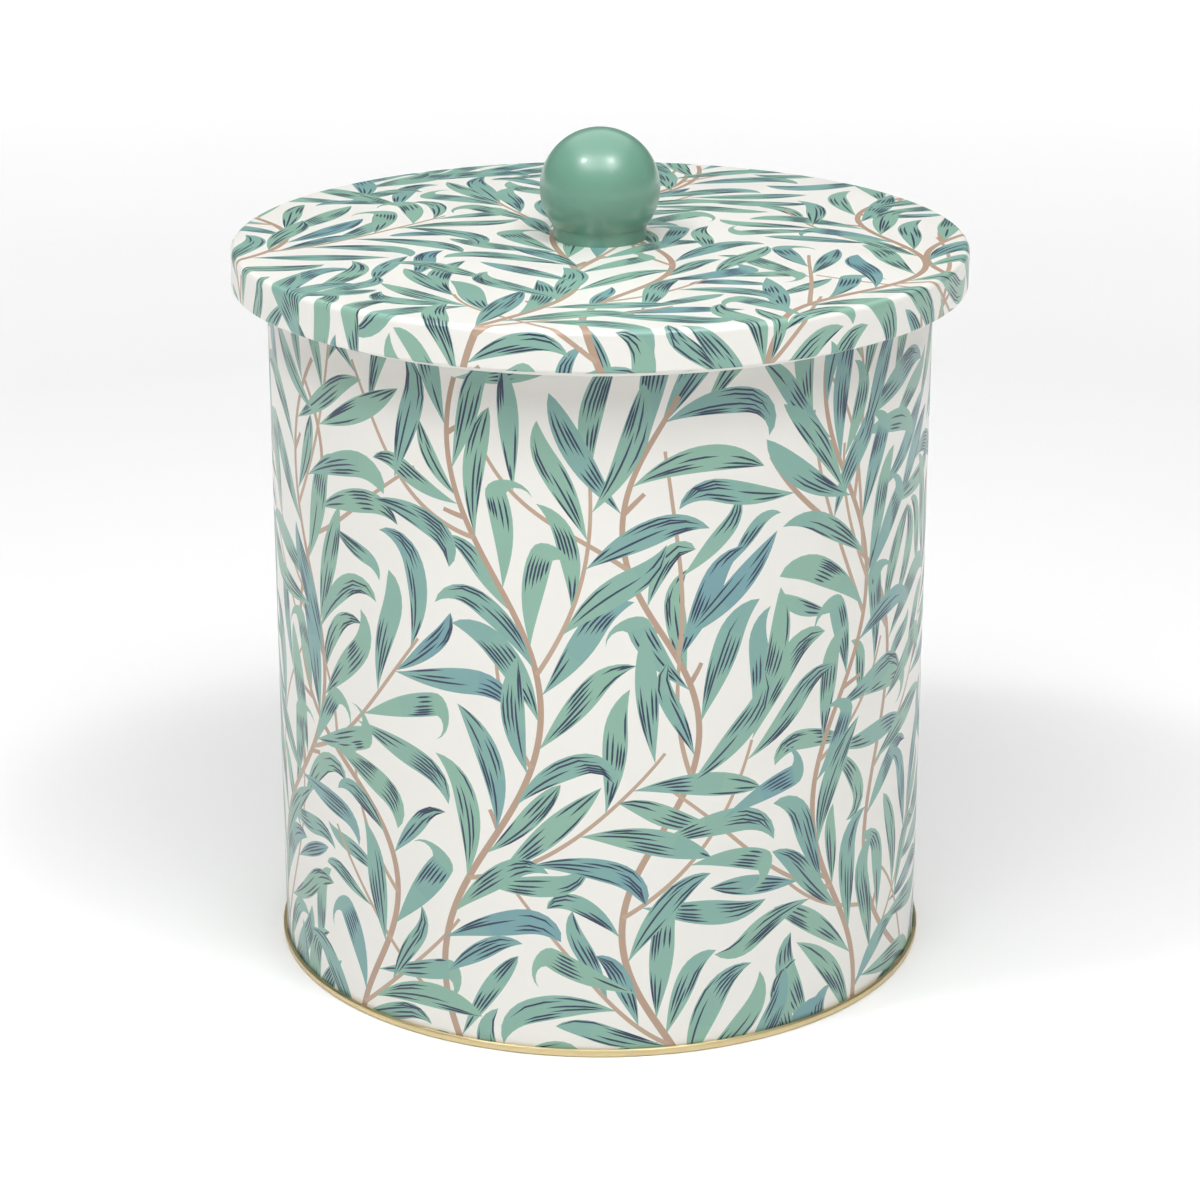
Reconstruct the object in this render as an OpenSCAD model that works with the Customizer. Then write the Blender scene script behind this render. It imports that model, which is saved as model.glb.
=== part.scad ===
// Round tinplate tea caddy with an overhanging plug lid and a ball knob.
//
// Every pressed part is one sheet of tinplate, drawn as the path that the middle of the
// sheet follows in cross-section, given its thickness and turned round the Z axis.
// The base is joined to the wall by a real five-layer double seam. The lid is a shallow
// outer cap whose folded-in lip carries a plug pan, and a silicone seal rides on the plug.
//
// Origin: centre of the foot ring, on the surface that the caddy stands on. +Z is up.

/* [Body] */
// Outer diameter of the wall
body_d = 145; // [120:1:170]
// Height of the body, from the foot to the top of its curled rim
body_h = 152.5; // [110:0.5:180]
// Thickness of the tinplate
sheet_t = 0.28; // [0.24:0.01:0.28]
// Radius of the curled rim round the mouth
rim_curl_r = 1.2; // [1.1:0.05:1.3]

/* [Lid] */
// Outer diameter of the lid
lid_d = 160; // [156:0.5:161]
// Height of the lid, from the bottom of its skirt to its flat top
lid_h = 8.7; // [7.5:0.1:11]
// Depth of the plug below its flange
plug_depth = 12; // [11:0.5:14]

/* [Knob] */
// Diameter of the ball
ball_d = 26.1; // [24:0.1:30]
// Diameter of the short collar under the ball
collar_d = 20.2; // [18:0.1:22]
// Height of the ball's centre above the lid
ball_rise = 11; // [10:0.1:14]

/* [Hidden] */
$fn = 96;

layer_gap = 0.03;               // lacquer and air between two sheets that are pressed together
layer = sheet_t + layer_gap;    // from the middle of one sheet to the middle of the next
half_t = sheet_t / 2;

body_r = body_d / 2;
wall_r = body_r - half_t;       // middle of the wall's sheet
mouth_r = body_r - sheet_t;     // inside of the wall

// Double seam, counted outwards from the inside: chuck wall, body wall, cover hook, body hook, outer wall.
seam_h = 1.7;
chuck_r = wall_r - layer;
cover_hook_r = wall_r + layer;
body_hook_r = wall_r + 2 * layer;
outer_wall_r = wall_r + 3 * layer;
foot_corner = 0.35;             // bend radius at the foot, to the middle of the sheet
body_fold_z = half_t + layer + layer;
cover_fold_z = seam_h - half_t - layer;
panel_z = 2.6;                  // underside of the countersunk panel, to the middle of the sheet
panel_step = 1;                 // the panel's rim stands this much higher than its middle

// Lock seam down the back of the wall
seam_strip_w = 4;
seam_strip_t = 0.5;
seam_strip_z = [6, body_h - 18];
seam_groove_w = 0.4;
seam_groove_deep = 0.1;

// Lid
lid_r = lid_d / 2;
lip_gap = 0.2;                  // the lid's lip hangs this far below the body's rim
lid_z = body_h - lip_gap;       // bottom of the skirt
lid_top = lid_z + lid_h;
cap_corner = 1.2;
lip_w = 2.7;
flange_z = lid_z + sheet_t + 0.04 + half_t;
flange_r = lid_r - sheet_t - 0.04 - half_t;
flange_up = 2.6;
plug_r = 70 / 72.5 * body_r;    // outside of the plug
plug_bottom = flange_z - plug_depth;
plug_corner = 2;
bead_z = flange_z - 6.6;        // bead that keeps the seal up
bead_r = 0.7;
pan_step_r = 0.72 * plug_r;     // the pan's middle is pressed 1.2 mm up
pan_step_h = 1.2;

// Seal
seal_clear = 0.06;
seal_r = plug_r + seal_clear;
seal_band = 0.9;
seal_z = [bead_z + 0.95, body_h - 0.4];
fin_r = mouth_r - 0.12;
fin_count = 3;
fin_pitch = 1.65;
fin_root = 1;
fin_tip = 0.45;

// Knob and its fastening
screw_r = 2;                    // M4
screw_hole_r = 2.2;
ball_r = ball_d / 2;
collar_r = collar_d / 2;
ball_z = lid_top + ball_rise;
collar_h = ball_rise - sqrt(ball_r * ball_r - collar_r * collar_r);
insert_r = 3;
insert_len = 9;
insert_z = lid_top + 0.6;
bore_depth = 11.5;
washer_r = 7;
washer_t = 0.8;
head_r = 3.9;
head_h = 2.4;
stack_gap = 0.01;
washer_z = lid_top - sheet_t - washer_t - stack_gap;
head_z = washer_z - head_h - stack_gap;
screw_tip_z = insert_z + insert_len - 1;
thread_pitch = 0.7;
thread_deep = 0.28;

// ---- cross-sections of pressed sheet ----

// Points of an arc, from angle a0 to angle a1
function arc(cx, cz, r, a0, a1, n = 8) =
    [for (i = [0:n]) let (a = a0 + (a1 - a0) * i / n) [cx + r * cos(a), cz + r * sin(a)]];

function unit(v) = v / norm(v);

// Direction across a path at point i: the mean of the normals on both sides, lengthened for the bend
function across(path, i) =
    let (last = len(path) - 1,
         before = unit(path[max(i, 1)] - path[max(i, 1) - 1]),
         after = unit(path[min(i, last - 1) + 1] - path[min(i, last - 1)]),
         mean = unit(before + after))
    [-mean[1], mean[0]] / (mean * before);

// Outline of a sheet of thickness t whose middle follows the path
function sheet_outline(path, t) = concat(
    [for (i = [0:len(path) - 1]) path[i] + across(path, i) * t / 2],
    [for (i = [len(path) - 1:-1:0]) path[i] - across(path, i) * t / 2]);

// A pressed part: the sheet turned round the Z axis
module pressed(path, t = sheet_t) {
    rotate_extrude($fn = 180) polygon(sheet_outline(path, t));
}

// ---- body ----

body_path = concat(
    [[body_hook_r, cover_fold_z - 0.15]],
    arc(cover_hook_r, body_fold_z, layer, 0, -180),
    arc(wall_r + rim_curl_r - half_t, body_h - rim_curl_r, rim_curl_r - half_t, 180, -90, 16));

module body_wall() {
    color([0.93, 0.92, 0.88]) {
        difference() {
            pressed(body_path);
            seam_groove();
        }
        seam_strip();
    }
}

// The folded layers of the lock seam, which stand inside the wall
module seam_strip() {
    translate([0, 0, seam_strip_z[0]])
        linear_extrude(seam_strip_z[1] - seam_strip_z[0])
            intersection() {
                difference() {
                    circle(r = mouth_r + half_t, $fn = 180);
                    circle(r = mouth_r - seam_strip_t, $fn = 180);
                }
                translate([-seam_strip_w / 2, 0]) square([seam_strip_w, body_d]);
            }
}

// The line that the fold leaves down the outside
module seam_groove() {
    translate([-seam_groove_w / 2, body_r - seam_groove_deep, seam_h + 0.5])
        cube([seam_groove_w, 1, body_h - 2 * rim_curl_r - seam_h - 1]);
}

// ---- base ----

base_path = concat(
    [[0, panel_z]],
    [[0.8 * chuck_r, panel_z], [0.84 * chuck_r, panel_z + panel_step]],
    arc(chuck_r - 0.8, panel_z + panel_step - 0.8, 0.8, 90, 0),
    arc(chuck_r + foot_corner, half_t + foot_corner, foot_corner, 180, 270),
    arc(outer_wall_r - foot_corner, half_t + foot_corner, foot_corner, 270, 360),
    arc(body_hook_r, cover_fold_z, layer, 0, 180),
    [[cover_hook_r, body_fold_z + 0.14]]);

module base_end() {
    color([0.8, 0.7, 0.48]) pressed(base_path);
}

// Soft compound that fills the fold above the body hook
module base_seam_compound() {
    color([0.75, 0.73, 0.68])
        rotate_extrude($fn = 180)
            translate([body_hook_r - 0.12, cover_fold_z - 0.12]) square([0.24, 0.22]);
}

// ---- lid ----

cap_path = concat(
    [[screw_hole_r, lid_top - half_t]],
    arc(lid_r - half_t - cap_corner, lid_top - half_t - cap_corner, cap_corner, 90, 0),
    arc(lid_r - half_t - 0.5, lid_z + half_t + 0.5, 0.5, 0, -90),
    [[lid_r - half_t - lip_w, lid_z + half_t]]);

module lid_cap() {
    color([0.93, 0.92, 0.88]) pressed(cap_path);
}

plug_mid_r = plug_r - half_t;

plug_path = concat(
    [[0, plug_bottom + pan_step_h]],
    [[pan_step_r - 2, plug_bottom + pan_step_h], [pan_step_r, plug_bottom]],
    arc(plug_mid_r - plug_corner, plug_bottom + plug_corner, plug_corner, -90, 0),
    arc(plug_mid_r, bead_z, bead_r, -90, 90),
    arc(plug_mid_r + 0.6, flange_z - 0.6, 0.6, 180, 90),
    arc(flange_r - 0.4, flange_z + 0.4, 0.4, -90, 0),
    [[flange_r, flange_z + flange_up]]);

module lid_plug() {
    color([0.8, 0.7, 0.48]) pressed(plug_path);
}

// A band round the plug with soft fins that wipe the mouth
module lid_seal() {
    color([0.92, 0.92, 0.9])
        rotate_extrude($fn = 180)
            union() {
                translate([seal_r, seal_z[0]]) square([seal_band, seal_z[1] - seal_z[0]]);
                for (i = [0:fin_count - 1])
                    translate([seal_r + seal_band - 0.1, seal_z[0] + 0.5 + i * fin_pitch]) fin();
            }
}

module fin() {
    reach = fin_r - seal_r - seal_band + 0.1;
    polygon([[0, 0], [reach, 0.5], [reach, 0.5 + fin_tip], [0, fin_root]]);
}

// ---- knob and its fastening ----

module knob() {
    color([0.44, 0.65, 0.56])
        difference() {
            union() {
                translate([0, 0, lid_top]) cylinder(r = collar_r, h = collar_h + 0.5);
                intersection() {
                    translate([0, 0, ball_z]) sphere(r = ball_r);
                    translate([0, 0, lid_top + collar_h])
                        cylinder(r = ball_d, h = 2 * ball_d);
                }
            }
            translate([0, 0, lid_top - 1]) cylinder(r = insert_r + stack_gap, h = bore_depth + 1);
        }
}

// Brass insert with three raised bands that bite into the knob
module knob_insert() {
    band = insert_len / 5;
    color([0.78, 0.62, 0.3])
        translate([0, 0, insert_z])
            difference() {
                union() {
                    cylinder(r = insert_r - 0.3, h = insert_len);
                    for (i = [0:2]) translate([0, 0, 2 * i * band]) cylinder(r = insert_r, h = band);
                }
                translate([0, 0, -1]) cylinder(r = screw_r + 0.05, h = insert_len + 2);
            }
}

// Ridges of the screw's thread, as rings
thread_turns = floor((screw_tip_z - insert_z - 0.6) / thread_pitch);
screw_outline = concat(
    [[0, head_z], [0, screw_tip_z], [screw_r - thread_deep - 0.4, screw_tip_z],
     [screw_r - thread_deep, screw_tip_z - 0.5]],
    [for (i = [0:thread_turns - 1])
        each [[screw_r, screw_tip_z - 0.5 - (i + 0.5) * thread_pitch],
              [screw_r - thread_deep, screw_tip_z - 0.5 - (i + 1) * thread_pitch]]],
    [[screw_r - thread_deep, head_z + head_h], [head_r, head_z + head_h],
     [head_r, head_z + head_h - 1.1]],
    arc(head_r - 1.3, head_z + 1.3, 1.3, 0, -90, 4));

module knob_screw() {
    color([0.75, 0.76, 0.78])
        difference() {
            rotate_extrude() polygon(screw_outline);
            for (a = [0, 90]) rotate(a) cross_slot();
        }
}

// One of the two crossing slots in the head
module cross_slot() {
    translate([-2.1, -0.45, head_z - 1]) cube([4.2, 0.9, 2.4]);
}

module screw_washer() {
    color([0.7, 0.71, 0.73])
        translate([0, 0, washer_z])
            difference() {
                cylinder(r = washer_r, h = washer_t);
                translate([0, 0, -1]) cylinder(r = screw_hole_r, h = washer_t + 2);
            }
}

body_wall();
base_end();
base_seam_compound();
lid_cap();
lid_plug();
lid_seal();
knob();
knob_insert();
knob_screw();
screw_washer();
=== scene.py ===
"""Looks of the printed tea caddy: its litho print, its metals, its painted knob and the studio.

The print is laid out flat, in millimetres, as on the sheets before they are formed. It is cut into
triangles of one ink each, which are wrapped round the wall and over the edge of the lid. So each ink is
a material of its own, and the outlines stay sharp at any distance.
"""

import math
import random

import bpy
import numpy as np
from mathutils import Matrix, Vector
from mathutils.geometry import delaunay_2d_cdt


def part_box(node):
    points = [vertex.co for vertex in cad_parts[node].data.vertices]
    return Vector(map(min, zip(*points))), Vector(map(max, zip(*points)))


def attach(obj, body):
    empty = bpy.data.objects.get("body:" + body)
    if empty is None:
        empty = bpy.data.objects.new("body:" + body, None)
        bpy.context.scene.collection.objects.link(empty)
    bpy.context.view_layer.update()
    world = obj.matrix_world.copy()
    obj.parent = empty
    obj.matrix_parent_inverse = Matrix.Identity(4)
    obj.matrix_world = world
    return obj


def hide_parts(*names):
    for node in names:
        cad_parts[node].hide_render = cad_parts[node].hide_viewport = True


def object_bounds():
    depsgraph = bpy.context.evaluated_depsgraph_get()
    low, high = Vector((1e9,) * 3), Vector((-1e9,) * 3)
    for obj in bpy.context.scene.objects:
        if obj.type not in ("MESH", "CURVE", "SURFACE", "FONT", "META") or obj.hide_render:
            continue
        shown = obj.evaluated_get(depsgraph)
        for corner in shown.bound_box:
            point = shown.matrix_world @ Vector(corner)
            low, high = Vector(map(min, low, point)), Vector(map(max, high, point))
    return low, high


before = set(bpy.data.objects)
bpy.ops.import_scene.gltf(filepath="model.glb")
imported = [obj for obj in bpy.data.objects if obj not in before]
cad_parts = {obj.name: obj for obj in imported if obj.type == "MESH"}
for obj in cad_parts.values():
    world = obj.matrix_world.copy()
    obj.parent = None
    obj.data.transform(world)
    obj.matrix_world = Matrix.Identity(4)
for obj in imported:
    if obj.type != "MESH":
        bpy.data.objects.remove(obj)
cad_low, cad_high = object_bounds()

MM = 0.001
SHEET = 0.28            # thickness of the tinplate
SEGMENTS = 144          # straight steps round the wall and the lid


# -------- materials

GLOSS_PATCH = 14        # size of the patches of equal roughness, in grains
COLOUR_PATCH = 5        # size of the patches of equal colour, in grains


def srgb(red, green, blue):
    """Linear colour of an sRGB colour given as 0 to 255."""
    def linear(c):
        c = c / 255
        return c / 12.92 if c <= 0.04045 else ((c + 0.055) / 1.055) ** 2.4
    return linear(red), linear(green), linear(blue), 1.0


def surface(name, colour, roughness, grain, bump, other=None, metallic=0.0, coat=0.0,
            coat_roughness=0.1, subsurface=0.0):
    """A material whose roughness wanders over the surface, with a fine bump.

    roughness is (lowest, highest). grain is the size of the bumps and bump is their height, both in
    millimetres. Where other is given, the colour wanders between colour and other.
    """
    material = bpy.data.materials.new(name)
    material.use_nodes = True
    nodes, links = material.node_tree.nodes, material.node_tree.links
    shader = nodes["Principled BSDF"]
    shader.inputs["Base Color"].default_value = colour
    shader.inputs["Metallic"].default_value = metallic
    shader.inputs["Coat Weight"].default_value = coat
    shader.inputs["Coat Roughness"].default_value = coat_roughness
    if subsurface:
        shader.inputs["Subsurface Weight"].default_value = subsurface
        shader.inputs["Subsurface Radius"].default_value = (2 * MM, 2 * MM, 2 * MM)
    place = nodes.new("ShaderNodeTexCoord")
    wide = noise(nodes, links, place, GLOSS_PATCH * grain, 3)
    if other:
        cloud = noise(nodes, links, place, COLOUR_PATCH * grain, 4)
        mix = nodes.new("ShaderNodeMix")
        mix.data_type = "RGBA"
        mix.inputs["A"].default_value = colour
        mix.inputs["B"].default_value = other
        links.new(cloud.outputs["Fac"], mix.inputs["Factor"])
        links.new(mix.outputs["Result"], shader.inputs["Base Color"])
    spread = nodes.new("ShaderNodeMapRange")
    spread.inputs["From Min"].default_value = 0.3
    spread.inputs["From Max"].default_value = 0.7
    spread.inputs["To Min"].default_value = roughness[0]
    spread.inputs["To Max"].default_value = roughness[1]
    links.new(wide.outputs["Fac"], spread.inputs["Value"])
    links.new(spread.outputs["Result"], shader.inputs["Roughness"])
    fine = noise(nodes, links, place, grain, 2)
    relief = nodes.new("ShaderNodeBump")
    relief.inputs["Strength"].default_value = 1.0
    relief.inputs["Distance"].default_value = bump * MM
    links.new(fine.outputs["Fac"], relief.inputs["Height"])
    links.new(relief.outputs["Normal"], shader.inputs["Normal"])
    return material


def noise(nodes, links, place, size, detail):
    """A noise texture whose features are about size millimetres across."""
    texture = nodes.new("ShaderNodeTexNoise")
    texture.inputs["Scale"].default_value = 1 / (size * MM)
    texture.inputs["Detail"].default_value = detail
    links.new(place.outputs["Object"], texture.inputs["Vector"])
    return texture


INKS = {
    "ink_ground": srgb(238, 236, 230),
    "ink_leaf_0": srgb(137, 179, 160),
    "ink_leaf_1": srgb(133, 176, 161),
    "ink_leaf_2": srgb(129, 173, 161),
    "ink_leaf_3": srgb(125, 169, 162),
    "ink_leaf_4": srgb(120, 165, 163),
    "ink_leaf_5": srgb(114, 159, 164),
    "ink_hatch": srgb(34, 50, 80),
    "ink_stem": srgb(181, 153, 131),
    "ink_twig": srgb(187, 161, 139),
}
INK = {name[4:]: number for number, name in enumerate(INKS)}
TINTS = 6               # inks that leaves are printed in
INNER_SIDE = len(INKS)  # slot of the lacquer on the unprinted side
ink_materials = [surface(name, colour, (0.34, 0.44), 0.9, 0.0012, coat=0.35, coat_roughness=0.22)
                 for name, colour in INKS.items()]
white = surface("white_lacquer", srgb(232, 230, 224), (0.3, 0.42), 0.9, 0.0015,
                coat=0.2, coat_roughness=0.2)
gold = surface("gold_lacquer", srgb(222, 206, 164), (0.3, 0.42), 0.7, 0.002,
               other=srgb(210, 190, 144), metallic=1.0)
paint = surface("green_paint", srgb(119, 164, 145), (0.3, 0.38), 2.2, 0.004,
                other=srgb(107, 154, 133), coat=0.45, coat_roughness=0.18)
silicone = surface("white_silicone", srgb(232, 232, 227), (0.45, 0.6), 0.6, 0.006,
                   other=srgb(222, 222, 215), subsurface=0.2)
compound = surface("sealing_compound", srgb(204, 198, 185), (0.6, 0.75), 0.4, 0.01,
                   other=srgb(186, 179, 164))
brass = surface("turned_brass", srgb(220, 184, 106), (0.25, 0.4), 0.4, 0.004,
                other=srgb(204, 164, 84), metallic=1.0)
zinc = surface("bright_zinc", srgb(206, 209, 213), (0.25, 0.42), 0.4, 0.004,
               other=srgb(190, 194, 202), metallic=1.0)


# -------- layout of the print, in millimetres

CELL = 0.5              # side of one square of the map of what is already covered
HATCH_PITCH = 0.76      # from one stroke of the hatching to the next
HATCH_THICK = 0.46      # thickness of a stroke in its middle
STROKE = 10.5           # usual length of a stroke
SHADE = 6.2             # usual length of a stroke in the shade of another leaf
LEAF_PITCH = 7.2        # from one leaf of a stem to the next, on the other side
LEAF_LENGTH = 26        # usual length of a leaf
LEAF_TRIES = 18         # random leaves tried at one place of a stem, of which the best is kept
GAP_TRIES = 30          # random leaves tried at one empty place
FOLD_LENGTH = 22        # a leaf longer than this may have a turned tip
FOLD_ODDS = 0.14        # share of those leaves that have one
CLEARANCE = 0.8         # space looked for on each side of a leaf
OVERHANG = 8            # trunks start so far below the sheet, and end so far above it
STUBS = 3               # cut-off shoots on one trunk
STUB_POINTS = 12        # a stem with no more points than this is a stub, and has no leaves
TINT_ODDS = [0, 0, 0, 0, 1, 1, 1, 2, 3, 4]      # tints that a leaf's foot is drawn from
BESIDE = [(1, 0), (-1, 0), (0, 1), (0, -1)]
ASLANT = [(1, 1), (1, -1), (-1, 1), (-1, -1)]


def direction(heading):
    """Unit vector at an angle from straight up, clockwise."""
    return np.array([math.sin(heading), math.cos(heading)])


def curve(start, headings, step):
    """Points of a curve that leaves start and follows the headings, one step each."""
    middle = (headings[1:] + headings[:-1]) / 2
    moves = np.stack([np.sin(middle), np.cos(middle)], 1) * step
    return np.vstack([start, start + np.cumsum(moves, 0)])


def bezier(a, b, c, d, count):
    """Points of a cubic curve from a to d."""
    t = np.linspace(0, 1, count)[:, None]
    return a * (1 - t) ** 3 + b * 3 * t * (1 - t) ** 2 + c * 3 * t * t * (1 - t) + d * t ** 3


def resample(points, count):
    """The same line with count points, evenly numbered."""
    old = np.linspace(0, 1, len(points))
    new = np.linspace(0, 1, count)
    return np.stack([np.interp(new, old, points[:, k]) for k in (0, 1)], 1)


def neighbours(table, ways, outside):
    """The table moved by one square in each of some ways. outside is what lies beyond its edge."""
    padded = np.pad(table, 1, constant_values=outside)
    wide, high = table.shape
    return [padded[1 + x:1 + x + wide, 1 + y:1 + y + high] for x, y in ways]


class Stem:
    """A brown line that leaves grow from."""
    PIECE = 12          # steps in one outline

    def __init__(self, start, headings, step, thick, ink):
        self.headings = headings
        self.step = step
        self.points = curve(np.array(start, float), headings, step)
        self.across = np.stack([np.cos(headings), -np.sin(headings)], 1)
        self.half = np.linspace(thick[0], thick[1], len(headings)) / 2
        self.ink = INK[ink]

    def outlines(self):
        """Closed outlines of the stem's pieces, from foot to tip."""
        side = self.across * self.half[:, None]
        for first in range(0, len(self.points) - 1, self.PIECE):
            span = slice(first, first + self.PIECE + 1)
            yield np.vstack([(self.points + side)[span], (self.points - side)[span][::-1]])


class Leaf:
    """A willow leaf: a curved middle line with a half width on each side, and perhaps a turned tip."""
    COUNT = 17          # points along the middle line
    CURL_AT = 0.62      # share of the length where the tip begins to curl
    FOLD_AT = 0.72      # share of the length where a turned tip folds
    LOBE = 10           # points along the outside of a turned tip
    LOBE_OUT = 5.2      # a turned tip reaches so far past the side of the leaf
    LOBE_BACK = 1.6     # and its point comes so far back from the fold

    def __init__(self, start, heading, length, width, bend, hook, lean, taper, tint, drift, fold):
        self.t = np.linspace(0, 1, self.COUNT)
        self.length = length
        self.tint = tint
        self.drift = drift
        self.fold = fold
        self.last = int(self.FOLD_AT * (self.COUNT - 1)) if fold else self.COUNT - 1
        tip = np.clip((self.t - self.CURL_AT) / (1 - self.CURL_AT), 0, 1) ** 1.2
        self.headings = heading + bend * (self.t - 0.2) + hook * tip
        self.points = curve(np.array(start, float), self.headings, length / (self.COUNT - 1))
        self.across = np.stack([np.cos(self.headings), -np.sin(self.headings)], 1)
        half = self.t ** 1.2 * (1 - self.t) ** taper
        half = half / half.max() * width / 2
        self.right = half * (1 + lean)
        self.left = half * (1 - lean)
        if fold:
            self.lobe = self.turned_tip(fold)

    def turned_tip(self, side):
        """Outline of the tip where it is folded over to one side."""
        i = self.last
        forward = direction(self.headings[i])
        right = self.across[i] * side
        half = (self.right[i] + self.left[i]) / 2
        middle = self.points[i] + self.across[i] * (self.right[i] - self.left[i]) / 2
        near, far = middle - right * half, middle + right * half
        tip = middle + right * (half + self.LOBE_OUT) - forward * self.LOBE_BACK
        outer = bezier(near, near + forward * 4.6, tip + forward * 5.2 - right * 0.8, tip, self.LOBE)
        inner = bezier(tip, tip + forward * 2.6 - right, far + forward * 1.6 + right, far, 6)
        return np.vstack([outer, inner[1:]])

    def at(self, t, q):
        """Points at shares t of the length and q of the half width, which is positive to the right."""
        x = t * (self.COUNT - 1)
        i = np.minimum(x.astype(int), self.COUNT - 2)
        f = (x - i)[:, None]
        middle = self.points[i] * (1 - f) + self.points[i + 1] * f
        across = self.across[i] * (1 - f) + self.across[i + 1] * f
        width = np.where(q > 0, np.interp(t, self.t, self.right), np.interp(t, self.t, self.left))
        return middle + across * (q * width)[:, None]

    def spread(self, rows, columns, grow=0.0, start=0.0):
        """Points all over the leaf, which may be made wider by grow on each side."""
        along = np.linspace(start, self.t[self.last], rows)
        t, q = np.meshgrid(along, np.linspace(-1, 1, columns), indexing="ij")
        t, q = t.ravel(), q.ravel()
        across = self.across[(t * (self.COUNT - 1)).astype(int)]
        points = self.at(t, q) + across * (grow * q)[:, None]
        if not self.fold:
            return points
        outer = resample(self.lobe[:self.LOBE], rows)
        inner = resample(self.lobe[self.LOBE - 1:][::-1], rows)
        share = np.linspace(0, 1, columns)[:, None, None]
        return np.vstack([points, (outer * (1 - share) + inner * share).reshape(-1, 2)])

    def outline(self, start=0.0):
        """Closed outline of the leaf beyond a share of its length."""
        first = int(round(start * (self.COUNT - 1)))
        span = slice(first, self.last + 1)
        right = (self.points + self.across * self.right[:, None])[span]
        left = (self.points - self.across * self.left[:, None])[span][::-1]
        if not self.fold:
            left = left[1:]
        if first == 0:
            left = left[:-1]
        return np.vstack([right, left])

    def stroke(self, t0, t1, q, inner):
        """Outline of a tapered stroke along the leaf, with inner points between its ends."""
        t = np.linspace(t0, t1, inner + 2)
        middle = self.at(t, np.full(len(t), q))
        half = HATCH_THICK / 2 * np.sin(np.linspace(0, math.pi, inner + 2)) ** 0.5
        side = self.across[(t * (self.COUNT - 1)).astype(int)] * half[:, None]
        return np.vstack([(middle + side)[:-1], (middle - side)[1:][::-1]])


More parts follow.
